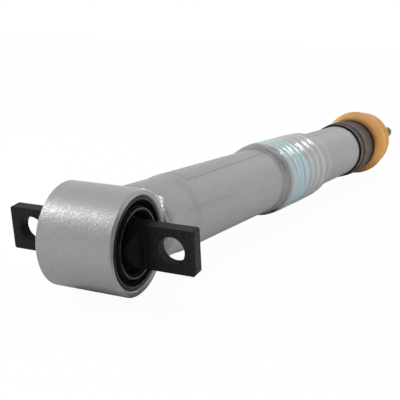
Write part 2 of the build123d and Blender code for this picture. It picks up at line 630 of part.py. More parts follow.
# Floating piston: a cup, open to the gas, with an o-ring against the bore
with BuildPart() as floating_piston:
    float_end = FLOAT_START + FLOAT_LENGTH
    float_groove = float_end - FLOAT_FLOOR / 2 - O_RING_SECTION / 2
    float_ring_centre = TUBE_BORE - RUN - O_RING_SECTION / 2
    with BuildSketch(SECTION):
        step(FLOAT_START, float_end, 0, FLOAT_RADIUS)
        step(FLOAT_START, float_end - FLOAT_FLOOR, 0, FLOAT_RADIUS - FLOAT_WALL, mode=Mode.SUBTRACT)
        step(float_groove - O_RING_SECTION / 2 - SEAT, float_groove + O_RING_SECTION / 2 + SEAT,
             float_ring_centre - O_RING_SECTION / 2 - FIT, TUBE_BORE, mode=Mode.SUBTRACT)
    revolve(axis=Axis.X)
save(floating_piston.part, "floating_piston")

with BuildPart() as floating_piston_o_ring:
    with BuildSketch(SECTION):
        with Locations((float_groove, float_ring_centre)):
            Circle(O_RING_SECTION / 2)
    revolve(axis=Axis.X)
save(floating_piston_o_ring.part, "floating_piston_o_ring")

# Bump stop: a bell-shaped foam sleeve with one waist, wide end against the end cap
with BuildPart() as bump_stop:
    bump_end = BUMP_START + BUMP_LENGTH
    bump_bore = ROD_RADIUS + RUN
    with BuildSketch(SECTION):
        with BuildLine():
            Line((BUMP_START, bump_bore), (BUMP_START, BUMP_FOOT_RADIUS))
            Spline((BUMP_START, BUMP_FOOT_RADIUS),
                   (BUMP_START + BUMP_BELL_STATION, BUMP_BELL_RADIUS),
                   (BUMP_START + BUMP_WAIST_STATION, BUMP_WAIST_RADIUS),
                   (BUMP_START + BUMP_CROWN_STATION, BUMP_CROWN_RADIUS),
                   (bump_end, BUMP_TIP_RADIUS),
                   tangents=((1, 1), (1, 0), (1, 0), (1, 0), (0, -1)))
            Line((bump_end, BUMP_TIP_RADIUS), (bump_end, bump_bore))
            Line((bump_end, bump_bore), (BUMP_START, bump_bore))
        make_face()
    revolve(axis=Axis.X)
save(bump_stop.part, "bump_stop")
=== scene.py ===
"""Looks of a monotube suspension strut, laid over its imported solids.

Metres. X runs up the strut from the middle of the lower eye, Y is the eye's axis and Z is up. A place on
a turned piece is its station along the axis, its radius, and its turn from the top towards the near side,
which is -Y. Finishes read places in millimetres.
"""
from math import radians

import bmesh
import bpy
import numpy as np
from mathutils import Matrix, Vector


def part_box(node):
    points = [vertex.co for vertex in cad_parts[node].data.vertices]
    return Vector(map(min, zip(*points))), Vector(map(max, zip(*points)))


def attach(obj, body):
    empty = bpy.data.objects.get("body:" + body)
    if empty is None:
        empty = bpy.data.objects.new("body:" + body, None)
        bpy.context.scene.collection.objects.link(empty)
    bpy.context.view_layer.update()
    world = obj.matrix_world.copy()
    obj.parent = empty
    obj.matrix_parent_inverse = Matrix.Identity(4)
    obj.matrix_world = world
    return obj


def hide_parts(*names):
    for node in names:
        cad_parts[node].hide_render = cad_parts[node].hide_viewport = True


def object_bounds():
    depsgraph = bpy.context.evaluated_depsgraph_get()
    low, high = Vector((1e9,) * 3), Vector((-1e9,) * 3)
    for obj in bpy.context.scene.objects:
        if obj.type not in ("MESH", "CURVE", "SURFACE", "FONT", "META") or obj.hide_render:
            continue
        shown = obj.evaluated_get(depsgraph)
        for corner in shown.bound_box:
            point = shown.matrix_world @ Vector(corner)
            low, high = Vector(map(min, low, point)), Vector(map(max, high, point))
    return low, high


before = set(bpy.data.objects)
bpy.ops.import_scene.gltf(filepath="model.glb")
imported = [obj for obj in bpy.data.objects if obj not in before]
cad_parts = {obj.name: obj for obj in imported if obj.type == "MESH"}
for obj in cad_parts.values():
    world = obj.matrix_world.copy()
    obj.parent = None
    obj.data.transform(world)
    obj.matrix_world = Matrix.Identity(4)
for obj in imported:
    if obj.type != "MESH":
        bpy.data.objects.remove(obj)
cad_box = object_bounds()
MM = 0.001
TURN = 2 * np.pi


def measured(node):
    """A turned node's first station, last station and largest radius."""
    low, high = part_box(node)
    return low.x, high.x, high.z


# Places that the frame gives
_, _, TUBE_RADIUS = measured("damper_tube")
SLEEVE_START, _, SLEEVE_RADIUS = measured("spring_seat_sleeve")
FILM_START, FILM_END, _ = measured("protective_film")
CAP_START, CAP_END, _ = measured("end_cap")
ROD_START, ROD_END, ROD_RADIUS = measured("piston_rod")
PILOT_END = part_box("backing_washers")[1].x
PLATE_START, PLATE_END, _ = measured("rebound_plate")
BUMP_START, _, _ = measured("bump_stop")
EYE_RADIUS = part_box("lower_eye")[1].x
EYE_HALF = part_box("lower_eye")[1].y
BAR_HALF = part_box("bar_pin")[1].y

# Unevenness
WAVE_RUN = 9 * MM            # a wave passes at most one radian over this length

# Base beside the weld
NECK_STEP = 0.7 * MM         # the base is this much smaller than the tube, on the radius
BASE_RADIUS = TUBE_RADIUS - NECK_STEP
BASE_ROUND = 11 * MM
BASE_START = 24.1 * MM       # where its round starts, inside the eye

# Weld bead: its radius on the eye and its station on the base, on top, and how much more at the sides
WELD_ON_EYE, WELD_EYE_SPREAD = 21.2 * MM, 0.9 * MM
WELD_ON_BASE, WELD_BASE_SPREAD = 31.0 * MM, 3.6 * MM
WELD_WANDER = 0.5 * MM
WELD_SINK = 0.25 * MM        # its edges lie this far under both surfaces
WELD_HEIGHT = 1.0 * MM
WELD_ROOT = 3.5 * MM
RIPPLE_PITCH, RIPPLE_HEIGHT = 2.3 * MM, 0.7 * MM
LUMP_TURN, LUMP_HALF = radians(42), radians(9)    # where the bead was run over its start
LUMP_REACH, LUMP_RISE = 6.5 * MM, 0.8 * MM

# Spatter from the weld
SPECKS = 70
SPECK_START = 32 * MM
SPECK_SPREAD, SPECK_REACH = 3 * MM, 14 * MM
SPECK_TURNS = radians(15), radians(72)
SPECK_SMALLEST, SPECK_LARGEST = 0.15, 0.4    # millimetres
SPECK_FLATNESS = 0.5

# Film round the sleeve
FILM_SKIN = 0.12 * MM
FILM_SETTLE = 0.06 * MM      # between the film and what it lies on
FILM_BRIDGE = 4.0 * MM       # it leaves the tube this far before the sleeve,
FILM_TENT = 2.6 * MM         # more than that at its high turn and less opposite
FILM_HIGH_TURN = radians(-25)
TENT_PAST, TENT_RUN = 2 * MM, 4 * MM         # how far past the sleeve's start it ends, and its fade
FILM_CORNER = 0.8 * MM
FILM_BEND = 1.0 * MM         # half the length over which a corner is rounded
FILM_HANG, HANG_RUN = 0.15 * MM, 12 * MM     # it stands off the sleeve opposite its high turn
FILM_WRINKLE = 0.10 * MM
FILM_SLACK, SLACK_HALF = 0.9 * MM, 3.2 * MM
SLACK_FROM = 3 * MM          # behind the front edge
CURL_SET, CURL_HALF, CURL_RISE = 1.1 * MM, 0.8 * MM, 0.35 * MM
RAGGED_LONG, RAGGED_SHORT, RAGGED_RUN = 0.35 * MM, 0.15 * MM, 2 * MM
FINE_RUN = 16 * MM           # its rows of points lie closer over this length
FINE_ROWS, WIDE_ROWS, FILM_COLUMNS = 70, 200, 180
GROOVE_SET = 11.5 * MM
GROOVE_PITCH = 10 * MM
DRAWN_GROOVES = 4            # the film is drawn into these, and lies in wide folds beyond
GROOVE_DIP = 0.5 * MM
GROOVE_HALF = 1.25 * MM
CREST_RISE = 0.32 * MM       # it stands off the sleeve between grooves
CREST_SAG = 0.16 * MM        # every other crest is lower
TAUT_TURN, TAUT_SHARE = radians(165), 0.75    # underneath, the grooves show by this much less
FOLD_CRESTS = (279.5, 295.0, 309.0)           # stations of the wide folds, in millimetres
FOLD_RISE, FOLD_HALF = 0.28 * MM, 3.9 * MM

# Colours, painted light and painted shade along the film, in millimetres: behind its front edge, then
# stations, then half the width of a fold's painted light
LIP_HIGHLIGHT = 0.6, 1.6
BRIDGE_SHADE = 1.5, 8.0
COLLAR_PALE = 7.5
BLUE_START, BLUE_END = 233.4, 271.5
FOLD_LIGHT_HALF = 2.2

# Clear label
LABEL_START = 79 * MM
LABEL_TUCK = 0.5 * MM        # it runs on under the film by this much
LABEL_NEAR_TURN, LABEL_NEAR_TURN_END = radians(27.8), radians(20.5)
LABEL_WRAP = radians(140)
LABEL_SKIN = 0.08 * MM
LABEL_LIFT = 0.02 * MM

# Rod and stem
STEM_LENGTH = 40 * MM
STEM_RADIUS = 6 * MM
STEM_NECK, STEM_NECK_DEPTH = 2.4 * MM, 0.9 * MM
THREAD_PITCH, THREAD_DEPTH = 1.5 * MM, 0.85 * MM
THREAD_END = 0.1 * MM        # the last thread's distance from the stem's tip
TIP_RUN, TIP_DROP = 1.4 * MM, 1.4 * MM
TIP_RADIUS = 4.6 * MM
CENTRE_HOLE, CENTRE_HOLE_DEPTH = 2.0 * MM, 1.6 * MM
PILOT_RADIUS, PILOT_CHAMFER = 5 * MM, 0.9 * MM
PLATE_GROOVE = 1 * MM
SHOULDER_CHAMFER = 0.5 * MM

# Bush rubber: inner radius, outer radius, half length at each
OUTER_RUBBER = (19.35 * MM, 23.3 * MM, 21.4 * MM, 20.1 * MM)
INNER_RUBBER = (13.18 * MM, 18.25 * MM, 18.7 * MM, 21.4 * MM)
RUBBER_HOLLOW = 4 * MM
LIP_SLOPE, LIP_SHARE = 0.3 * MM, 0.55
RUBBER_EDGE = 0.35 * MM
RIBS, RIB_HEIGHT = 44, 0.016     # the height is a share of the half length

# Foam bump stop: stations from its foot, and radii, at its foot, bell, waist, crown and tip
BUMP_RUN = np.array([0, 22, 36, 48.4, 62]) * MM
BUMP_RADII = np.array([26.2, 33.6, 28.0, 30.9, 18.0]) * MM
BUMP_BORE = 7.05 * MM
BUMP_SKIN_FROM = 17 * MM     # the skin is uneven outside this radius
BUMP_PRESS = 1.3 * MM        # the foam gives this much where the strut lies on it
BUMP_UNEVEN = 0.22 * MM
SEAM_RISE, SEAM_HALF = 0.18 * MM, 0.012
SKIN_DRAW = 0.12 * MM

# Marks, painted shade and painted light on the finishes, in millimetres
# Soot and painted shade on the base beside the weld:
SOOT_AND_SHADE_FADE = 3.5, 15.0        # beyond the eye's crown
SOOT_AND_SHADE_START = 20.0, 28.0      # stations
SOOT_AND_SHADE_HEIGHTS = -20.0, 11.0
WIPED_STATIONS = 58.0, 130.0
WIPED_HEIGHTS = 6.2, 9.0
NEAR_SIDE = 15.0, 20.0       # distance towards the near side
BEAD_SHADE = 18.5, 23.5      # likewise
# Painted shade on the underside of the tube and of the eye:
TUBE_UNDERSIDE_SHADE = -22.9, -19.6    # heights
EYE_UNDERSIDE_SHADE = -30.5, -20.0
CAP_FRONT_DARK = 0.3, 3.0          # from the cap's start
CAP_GROOVE = 10.5, 13.5
CAP_BUMPER_REFLECTION = 34.0, 13.0      # before the cap's end
CAP_CREVICE_SHADE = 17.0, 4.0
TAB_TOP_SHEEN = 11.6, 12.6         # heights of the bar's top edges, which carry a painted sheen
BAR_FLANK_SHADE = 6.0, 14.0        # beyond the eye's face
SEAM_SHADE = 1.05, 0.8        # inside a ring's rim
CLEAN_RIM = 1.0              # the inner ring's seam is set this far out, so it shows hardly any painted shade
FOAM_FOOT_SHADE = 1.0, 10.0     # from the bump stop's foot
FOAM_UNDERSIDE_SHADE = -26.0, -6.0      # heights

# Camera, as fitted to the photograph's frame of 400 by 400
CAMERA_PLACE = Vector((-0.36887, -0.23185, 0.10723))
CAMERA_RIGHT = Vector((0.43206, -0.90127, 0.03220))
CAMERA_UP = Vector((0.15947, 0.11150, 0.98089))
FOCAL_PIXELS, FRAME_PIXELS, SENSOR = 820.43, 400, 36.0

# Room
ROOM_LIGHT, ROOM_DUSK = 1.0, 0.14
DUSK_START, DUSK_FULL = 0.35, 0.95    # how far a direction leans towards the camera
FLOOR_HALF, FLOOR_GAP = 30, 0.4 * MM
FLOOR_GLOW = 0.96


def colour(red, green, blue):
    """A colour written as a screen shows it, 0 to 255, turned into linear light."""
    shown = np.array([red, green, blue]) / 255
    linear = np.where(shown > 0.04045, ((shown + 0.055) / 1.055) ** 2.4, shown / 12.92)
    return (*(float(part) for part in linear), 1.0)


class Wire:
    """A number that changes over a surface. Python's operators on it add Math nodes to its finish."""

    def __init__(self, finish, socket):
        self.finish, self.socket = finish, socket

    def math(self, operation, *others):
        """The result of a Math node on this number and others."""
        return self.finish.node("Math", {"operation": operation}, dict(enumerate((self, *others))))

    def __add__(self, other):
        return self.math("ADD", other)

    def __sub__(self, other):
        return self.math("SUBTRACT", other)

    def __rsub__(self, other):
        return self * -1.0 + other

    def __mul__(self, other):
        return self.math("MULTIPLY", other)

    def __truediv__(self, other):
        return self.math("DIVIDE", other)

    __radd__ = __add__
    __rmul__ = __mul__


class Finish:
    """One material: its node tree, the one method that adds any node, and the patterns made from it."""

    def __init__(self, name):
        self.material = bpy.data.materials.new(name)
        self.material.use_nodes = True
        self.tree = self.material.node_tree
        self.shader = self.tree.nodes["Principled BSDF"]
        self.place = self.node("TexCoord", output="Object")
        parts = self.node("SeparateXYZ", inputs={0: self.place})
        axes = parts.socket.node.outputs
        self.x, self.y, self.z = (Wire(self, axis) * 1000.0 for axis in axes)

    def feed(self, node, inputs):
        """Set a node's inputs: a link for a Wire, a value for anything else."""
        for key, value in inputs.items():
            if isinstance(value, Wire):
                self.tree.links.new(value.socket, node.inputs[key])
            else:
                node.inputs[key].default_value = value

    def node(self, kind, settings=None, inputs=None, output=0):
        """Add a node of that kind, first its settings and then its inputs, and hand back one output."""
        added = self.tree.nodes.new("ShaderNode" + kind)
        for key, value in (settings or {}).items():
            setattr(added, key, value)
        self.feed(added, inputs or {})
        return Wire(self, added.outputs[output])

    def fade(self, value, low, high):
        """0 below low, 1 above high, smooth between."""
        return self.node("MapRange", {"interpolation_type": "SMOOTHSTEP"},
                         {"Value": value, "From Min": low, "From Max": high})

    def band(self, value, low, high, soft):
        """1 between low and high, 0 outside."""
        return self.fade(value, low - soft, low + soft) * (1 - self.fade(value, high - soft, high + soft))

    def mix(self, factor, first, second):
        """From one colour to another."""
        return self.node("Mix", {"data_type": "RGBA"}, {0: factor, 6: first, 7: second}, output=2)

    def shade(self, value, tint):
        """A colour times a number."""
        return self.node("VectorMath", {"operation": "SCALE"}, {0: tint[:3], "Scale": value})

    def stretched(self, along_x, along_y, along_z):
        """Object coordinates, stretched along each axis."""
        return self.node("VectorMath", {"operation": "MULTIPLY"},
                         {0: self.place, 1: (along_x, along_y, along_z)})

    def noise(self, size, detail=2.0, place=None, distortion=0.0):
        """Cloudy numbers about 0.5, with patches of that size in millimetres."""
        return self.node("TexNoise", None, {"Vector": place or self.place, "Scale": 1000.0 / size,
                                            "Detail": detail, "Distortion": distortion})

    def grains(self, size):
        """One random number per cell of that size in millimetres."""
        cells = self.node("TexVoronoi", None, {"Vector": self.place, "Scale": 1000.0 / size}, "Color")
        return self.node("SeparateColor", inputs={0: cells})

    def spots(self, size):
        """Distance to the middle of the nearest cell, as a share of the cell."""
        return self.node("TexVoronoi", None, {"Vector": self.place, "Scale": 1000.0 / size}, "Distance")

    def tilted(self, size, tilt):
        """Surface normals that lean at random, one way per cell of that size in millimetres."""
        cells = self.node("TexVoronoi", None, {"Vector": self.place, "Scale": 1000.0 / size}, "Color")
        lean = self.node("VectorMath", {"operation": "MULTIPLY_ADD"},
                         {0: cells, 1: (tilt, tilt, tilt), 2: (-tilt / 2, -tilt / 2, -tilt / 2)})
        normal = self.node("NewGeometry", output="Normal")
        leaning = self.node("VectorMath", {"operation": "ADD"}, {0: normal, 1: lean})
        return self.node("VectorMath", {"operation": "NORMALIZE"}, {0: leaning})

    def relief(self, height, depth, under=None):
        """Bumps as deep as that in millimetres where height goes from 0 to 1."""
        inputs = {"Height": height, "Distance": depth * MM}
        if under:
            inputs["Normal"] = under
        return self.node("Bump", None, inputs)

    def coat(self, inputs):
        """Connect the shader's sockets and hand back the material."""
        self.feed(self.shader, inputs)
        return self.material


def silver_paint(name, tone, sparkle, metal, rough, underside_shade):
    """Silver lacquer: flakes that lie at many small tilts, faint clouding, orange peel, dust marks, soot
    and painted shade where the base leaves the weld, a wiped mark along the near side, and painted shade on
    the underside."""
    paint = Finish(name)
    grain = paint.grains(0.45)
    cloud = paint.noise(16.0, 2.0)
    dust = paint.fade(paint.noise(2.6, 4.0), 0.72, 0.80)
    crown = EYE_RADIUS / MM
    # Soot and painted shade: the base is darker beside the weld, in the hollow between the eye and the
    # base.
    soot = 1 - paint.fade(paint.x + cloud * 4.0, crown + SOOT_AND_SHADE_FADE[0], crown + SOOT_AND_SHADE_FADE[1])
    soot_and_shade = soot * paint.fade(paint.x, *SOOT_AND_SHADE_START) * paint.band(paint.z, *SOOT_AND_SHADE_HEIGHTS, 5.0)
    smear = paint.noise(9.0, 3.0, paint.stretched(0.2, 1.0, 1.0)) - 0.5
    level = 0.88 + grain * 0.22 + (cloud - 0.5) * 0.06 + smear * 0.10 - dust * 0.08 - soot_and_shade * 0.55
    wiped = paint.band(paint.z, *WIPED_HEIGHTS, 1.8) * paint.fade(-1 * paint.y, *NEAR_SIDE)
    wiped = wiped * paint.band(paint.x + cloud * 10.0, *WIPED_STATIONS, 12.0)
    # Painted shade: darker on the underside, below the heights given.
    level = level - (1 - paint.fade(paint.z, *underside_shade)) * 0.75 - wiped * 0.10
    peel = paint.relief(paint.noise(1.7, 2.0), 0.02, paint.tilted(0.45, sparkle))
    return paint.coat({"Base Color": paint.shade(level, tone), "Metallic": metal,
                       "Roughness": rough + grain * 0.08 + dust * 0.12, "Normal": peel})


def weld_paint():
    """Paint over a weld: a brighter, glossier silver with patches of soot, darker towards the near side."""
    paint = Finish("painted_weld")
    soot = paint.fade(paint.noise(3.0, 3.0), 0.45, 0.75)
    shaded = paint.fade(-1 * paint.y, *BEAD_SHADE)
    level = 0.90 + paint.grains(0.5) * 0.2 - soot * 0.15 - shaded * 0.5
    base = paint.shade(level, colour(182, 182, 179))
    relief = paint.relief(paint.noise(1.4, 3.0), 0.08, paint.tilted(0.6, 0.12))
    return paint.coat({"Base Color": base, "Metallic": 0.7, "Roughness": 0.20 + soot * 0.25,
                       "Normal": relief, "Coat Weight": 0.5, "Coat Roughness": 0.12})


def film_finish():
    """Wrapping film: clear, with a painted highlight on its front edge and painted shade where it bridges
    to the sleeve, then a pale collar, light blue over the first grooves and painted lighter on top, and
    milky in wide folds beyond, with painted light on their crests."""
    film = Finish("wrapping_film")
    front, end = FILM_START / MM, FILM_END / MM
    waver = film.noise(6.0, 2.0) - 0.5
    station = film.x + waver * 1.2
    blue = film.band(station, BLUE_START, BLUE_END, 0.7)
    milky = film.band(station, BLUE_END, end, 1.2)
    # Painted highlight on the film's rolled front edge.
    lip = 1 - film.fade(station, front + LIP_HIGHLIGHT[0], front + LIP_HIGHLIGHT[1])
    # Painted shade where the film bridges from the tube to the sleeve.
    bridge_shade = film.band(station, front + BRIDGE_SHADE[0], front + BRIDGE_SHADE[1], 0.9)
    collar = film.band(station, front + COLLAR_PALE, BLUE_START - 0.3, 1.2)
    # Painted light on the crests of the wide folds, whose film is also milkier.
    fold = sum(film.band(station, crest - FOLD_LIGHT_HALF, crest + FOLD_LIGHT_HALF, 3.0) for crest in FOLD_CRESTS)
    # Painted light: the blue is lighter and greener on top.
    blue_with_painted_top_light = film.mix(film.fade(film.z, 6.0, 24.0), colour(147, 174, 182), colour(155, 185, 184))
    clear = film.mix(blue, colour(160, 160, 161), blue_with_painted_top_light)
    milk = film.mix(fold, colour(160, 162, 160), colour(180, 183, 181))
    base = film.mix(milky, clear, milk)
    # painted shade on the bridge
    base = film.mix(bridge_shade * 0.5, base, colour(152, 152, 153))
    base = film.mix(collar * 0.6, base, colour(192, 190, 190))
    rings = film.noise(5.0, 3.0, film.stretched(2.2, 0.25, 0.25))
    base = film.mix(film.fade(rings, 0.45, 0.68) * 0.35, base, colour(196, 204, 204))
    pale = film.fade(film.noise(9.0, 2.0), 0.45, 0.65) * blue
    base = film.mix(pale * 0.4, base, colour(146, 182, 196))
    # painted highlight on the rolled front edge
    base = film.mix(lip * 0.35, base, colour(190, 190, 190))
    streak = film.noise(5.0, 3.0, film.stretched(3.0, 0.6, 0.6))
    opacity = 0.50 + blue * 0.38 + collar * 0.1 + milky * 0.14 + milky * fold * 0.14
    opacity = opacity + (streak - 0.5) * 0.2
    crinkle = film.relief(film.noise(4.5, 3.0, film.stretched(1.0, 0.45, 0.45), 0.6), 0.12)
    return film.coat({"Base Color": base, "Alpha": opacity, "Normal": crinkle, "IOR": 1.6,
                      "Roughness": 0.09 + streak * 0.08 + milky * 0.06})


def label_finish():
    """Clear label, left without its print: a faint grey skin with a darker line along its cut edge."""
    skin = Finish("clear_label")
    flat = skin.node("SeparateXYZ", inputs={0: skin.node("UVMap", {"uv_map": "label"})})
    u, v = (Wire(skin, socket) for socket in flat.socket.node.outputs[:2])
    inside = skin.fade(u, 0.0, 0.5) * skin.fade(v, 0.0, 0.5)
    base = skin.mix(inside, colour(70, 70, 72), colour(190, 190, 193))
    haze = skin.noise(12.0, 3.0, skin.stretched(0.6, 1.2, 1.2))
    ripple = skin.relief(skin.noise(9.0, 2.0, skin.stretched(0.5, 1.0, 1.0)), 0.09)
    return skin.coat({"Base Color": base, "Alpha": 0.60 - inside * 0.50 + (haze - 0.5) * 0.1,
                      "Roughness": 0.14 + haze * 0.08, "Normal": ripple})


def cap_finish():
    """Satin black end cap: turning marks, a warm bloom, a darker front edge, painted shade in the groove,
    and a painted brown reflection of the bump stop with painted shade in the crevice beside it."""
    cap = Finish("end_cap_black")
    turning = cap.noise(1.2, 2.0, cap.stretched(6.0, 0.15, 0.15))
    bloom = cap.noise(7.0, 3.0)
    start, end = CAP_START / MM, CAP_END / MM
    # Darker band at the cap's front edge.
    front_dark = 1 - cap.fade(cap.x, start + CAP_FRONT_DARK[0], start + CAP_FRONT_DARK[1])
    # Painted shade in the groove.
    groove = cap.band(cap.x, start + CAP_GROOVE[0], start + CAP_GROOVE[1], 0.8)
    # Painted reflection of the tan bump stop: brown towards the cap's end.
    bumper_reflection = cap.fade(cap.x + bloom * 4.0, end - CAP_BUMPER_REFLECTION[0], end - CAP_BUMPER_REFLECTION[1])
    # Painted shade in the crevice between the cap and the bump stop.
    crevice_shade = cap.fade(cap.x + bloom * 3.0, end - CAP_CREVICE_SHADE[0], end - CAP_CREVICE_SHADE[1])
    base = cap.mix(cap.fade(bloom, 0.35, 0.7), colour(88, 82, 76), colour(106, 99, 92))
    # darker front edge, and painted shade in the groove
    base = cap.mix(front_dark + groove * 0.5, base, colour(38, 37, 37))
    base = cap.mix(bumper_reflection, base, colour(80, 68, 58))
    base = cap.mix(crevice_shade, base, colour(35, 23, 16))
    relief = cap.relief(turning, 0.03, cap.relief(cap.noise(0.6, 2.0), 0.02))
    return cap.coat({"Base Color": base, "Roughness": 0.50 + bloom * 0.14, "Normal": relief,
                     "Specular IOR Level": 0.01})


def forged_black():
    """Black phosphated forging: scale pits, rubbed corners, the bright tear of the shear at both ends, a
    painted sheen on its top edges and painted shade beside the bush."""
    steel = Finish("forged_black")
    grain = steel.noise(0.8, 4.0)
    scale = steel.spots(2.2)
    reach = steel.y.math("ABSOLUTE")
    torn = steel.fade(reach, BAR_HALF / MM - 0.5, BAR_HALF / MM - 0.1)
    rubbed = steel.fade(reach + steel.noise(2.5, 3.0) * 3.0, BAR_HALF / MM - 1.0, BAR_HALF / MM + 1.5)
    # Painted sheen: the bar's top edges are lighter.
    top = steel.fade(steel.z + steel.noise(1.5, 3.0) * 0.6, *TAB_TOP_SHEEN)
    base = steel.mix(steel.fade(grain, 0.3, 0.7), colour(26, 24, 24), colour(52, 49, 47))
    base = steel.mix(top * 0.25 + rubbed * 0.3, base, colour(60, 58, 56))
    base = steel.mix(torn * steel.fade(steel.noise(1.1, 4.0), 0.46, 0.62), base, colour(66, 64, 60))
    face = EYE_HALF / MM
    # Painted shade on the bar beside the bush.
    flank_shade = 1 - steel.fade(reach + grain * 2.0, face + BAR_FLANK_SHADE[0], face + BAR_FLANK_SHADE[1])
    base = steel.mix(flank_shade * 0.7, base, colour(10, 9, 9))
    tear = steel.relief(steel.noise(1.6, 4.0, steel.stretched(1.0, 1.0, 0.35)) * torn, 0.5)
    pits = steel.relief(grain * 0.5 + steel.fade(scale, 0.1, 0.5) * 0.5, 0.06, tear)
    return steel.coat({"Base Color": base, "Roughness": 0.48 - top * 0.08 + grain * 0.14, "Normal": pits,
                       "Specular IOR Level": 0.04})


def ring_steel(name, tone, worn, ticks, rim):
    """Dark steel ring of the bush: brownish film, painted shade in the seam at its rim, and ticks where a
    die gripped its face."""
    steel = Finish(name)
    turn = steel.x.math("ARCTAN2", steel.z)
    tick = (turn * ticks).math("SINE") * 0.5 + 0.5
    patch = steel.fade(steel.noise(16.0, 1.0), 0.42, 0.62)
    rust = steel.noise(2.2, 4.0)
    base = steel.mix(steel.fade(rust, 0.35, 0.75), tone, worn)
    out = (steel.x * steel.x + steel.z * steel.z).math("SQRT")
    # Painted shade in the seam at the ring's rim.
    seam_shade = steel.fade(out, rim - SEAM_SHADE[0], rim - SEAM_SHADE[1])
    base = steel.mix(seam_shade, base, colour(9, 8, 8))
    relief = steel.relief(tick * patch, 0.12, steel.relief(rust, 0.05))
    return steel.coat({"Base Color": base, "Metallic": 0.55, "Roughness": 0.38 + rust * 0.2,
                       "Normal": relief})


def moulded_rubber():
    """Black bush rubber: mould bloom and a fine matt grain."""
    rubber = Finish("moulded_rubber")
    bloom = rubber.fade(rubber.noise(4.0, 4.0), 0.5, 0.8)
    base = rubber.mix(bloom * 0.7, colour(27, 26, 25), colour(50, 47, 45))
    relief = rubber.relief(rubber.noise(0.5, 3.0), 0.05)
    return rubber.coat({"Base Color": base, "Roughness": 0.65 + bloom * 0.2, "Normal": relief,
                        "Specular IOR Level": 0.04})


def foam_finish():
    """Tan micro-cellular foam: a moulded skin with fine pores, faint clouding, handled patches, and painted
    shade at its foot and on its underside."""
    foam = Finish("tan_foam")
    cloud = foam.noise(14.0, 3.0)
    pores = 1 - foam.fade(foam.spots(1.1), 0.05, 0.35)
    handled = foam.fade(foam.noise(22.0, 2.0), 0.52, 0.72)
    base = foam.mix(cloud, colour(196, 142, 76), colour(212, 158, 88))
    base = foam.mix(handled * 0.35 + pores * 0.25, base, colour(160, 108, 54))
    foot = BUMP_START / MM
    # Painted shade at the foam's foot, beside the cap.
    foot_shade = 1 - foam.fade(foam.x + cloud * 4.0, foot + FOAM_FOOT_SHADE[0], foot + FOAM_FOOT_SHADE[1])
    base = foam.mix(foot_shade * 0.75, base, colour(78, 48, 26))
    # Painted shade on the foam's underside.
    foam_underside_shade = 1 - foam.fade(foam.z + cloud * 5.0, *FOAM_UNDERSIDE_SHADE)
    base = foam.mix(foam_underside_shade * 0.45, base, colour(122, 78, 38))
    skin = foam.relief(foam.noise(0.9, 3.0), 0.08)
    return foam.coat({"Base Color": base, "Roughness": 0.50 + cloud * 0.12,
                      "Normal": foam.relief(pores, -0.10, skin), "Subsurface Weight": 0.08,
                      "Subsurface Radius": (0.004, 0.002, 0.001), "Subsurface Scale": 1.0,
                      "Specular IOR Level": 0.2})


def chromed_rod():
    """Ground hard chrome, and an olive passivated stem from the shoulder on."""
    rod = Finish("rod_chrome")
    grind = rod.noise(0.5, 2.0, rod.stretched(8.0, 0.4, 0.4))
    shoulder = (ROD_END - STEM_LENGTH) / MM
    stem = rod.fade(rod.x, shoulder - 0.2, shoulder + 0.2)
    patina = rod.noise(3.0, 3.0)
    olive = rod.mix(patina, colour(112, 110, 82), colour(150, 146, 116))
    base = rod.mix(stem, colour(196, 197, 199), olive)
    return rod.coat({"Base Color": base, "Metallic": 0.95, "Normal": rod.relief(grind, 0.012),
                     "Roughness": 0.12 + stem * 0.24 + patina * 0.06})


def turned_metal(name, dark, light, metallic=0.9, rough=0.32):
    """Machined metal with turning marks about the strut's axis."""
    metal = Finish(name)
    lines = metal.noise(1.0, 3.0, metal.stretched(7.0, 0.2, 0.2))
    stain = metal.noise(6.0, 3.0)
    base = metal.mix(lines * 0.5 + stain * 0.5, dark, light)
    return metal.coat({"Base Color": base, "Metallic": metallic, "Roughness": rough + stain * 0.12,
                       "Normal": metal.relief(lines, 0.03)})


def faces_of(rows, columns, wrap_rows, wrap_columns):
    """Quads between neighbouring points of a grid that is numbered row by row."""
    row = np.arange(rows if wrap_rows else rows - 1)
    column = np.arange(columns if wrap_columns else columns - 1)
    row, column = np.meshgrid(row, column, indexing="ij")
    below, beside = (row + 1) % rows, (column + 1) % columns
    corners = (row * columns + column, below * columns + column,
               below * columns + beside, row * columns + beside)
    return np.stack(corners, -1).reshape(-1, 4)


def outward(points, faces):
    """The faces, turned over if the volume they enclose comes out negative."""
    a, b, c, d = (points[faces[:, corner]] for corner in range(4))
    volume = np.einsum("ij,ij->i", a, np.cross(b, c) + np.cross(c, d)).sum()
    return faces if volume > 0 else faces[:, ::-1]


def make_piece(name, points, faces, material, body, stands_for=(), poles=False):
    """Put arrays of points and faces into a smooth mesh that rides on a body."""
    mesh = bpy.data.meshes.new(name)
    mesh.from_pydata(points.tolist(), [], outward(points, faces).tolist())
    if poles:
        merged = bmesh.new()
        merged.from_mesh(mesh)
        bmesh.ops.remove_doubles(merged, verts=merged.verts, dist=1e-7)
        merged.to_mesh(mesh)
        merged.free()
    mesh.polygons.foreach_set("use_smooth", np.ones(len(mesh.polygons), bool))
    mesh.materials.append(material)
    piece = bpy.data.objects.new(name, mesh)
    bpy.context.scene.collection.objects.link(piece)
    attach(piece, body)
    if stands_for:
        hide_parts(*stands_for)
    return piece


def turned(stations, radii, turns):
    """Points of a surface turned about X: (s, -r sin t, r cos t). Each array may vary by row and column."""
    stations, radii, turns = np.broadcast_arrays(stations, radii, turns)
    return np.stack([stations, -radii * np.sin(turns), radii * np.cos(turns)], -1)


